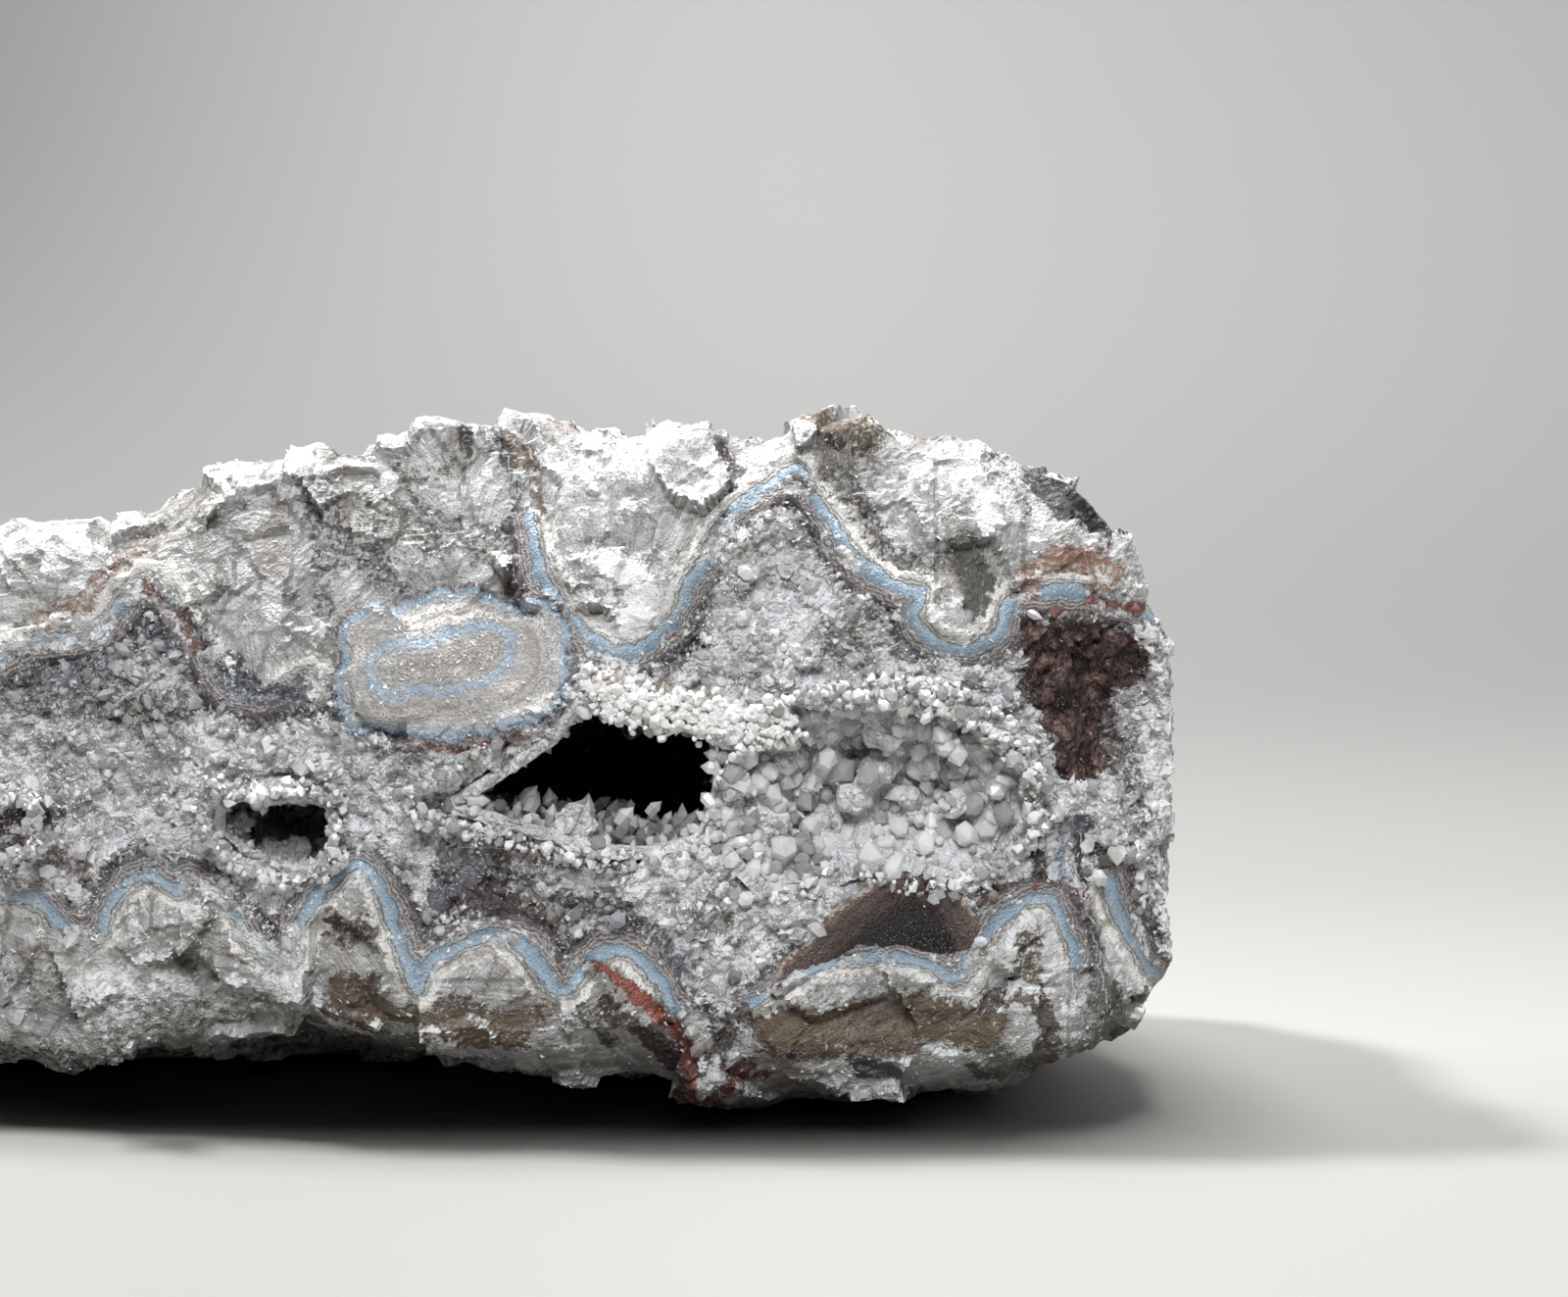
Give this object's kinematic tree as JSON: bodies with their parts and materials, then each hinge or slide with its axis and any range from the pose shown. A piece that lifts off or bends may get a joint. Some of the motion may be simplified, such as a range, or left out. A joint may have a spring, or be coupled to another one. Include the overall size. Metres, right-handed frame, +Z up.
{
  "type": "rough lace agate specimen",
  "caption": "Rough lace agate: a broken length of vein with zigzag bands, calcite rims and open hollows lined with quartz crystals.",
  "frame": {"origin": "bottom centre of the bounding box, on the surface that the stone lies on", "axes": "+X along the stone's length, +Z up, -Y towards the broken face with the bands and hollows"},
  "size_m": [0.1642, 0.0604, 0.0752],
  "materials": {
    "stone": "rough broken calcite, quartz and banded chalcedony, grey and white with pale blue bands",
    "quartz": "clear to milky quartz crystals"
  },
  "bodies": {
    "root": {"agate_stone": "stone", "large_hollow_crystals": "quartz", "small_hollow_crystals": "quartz"}
  },
  "joints": []
}
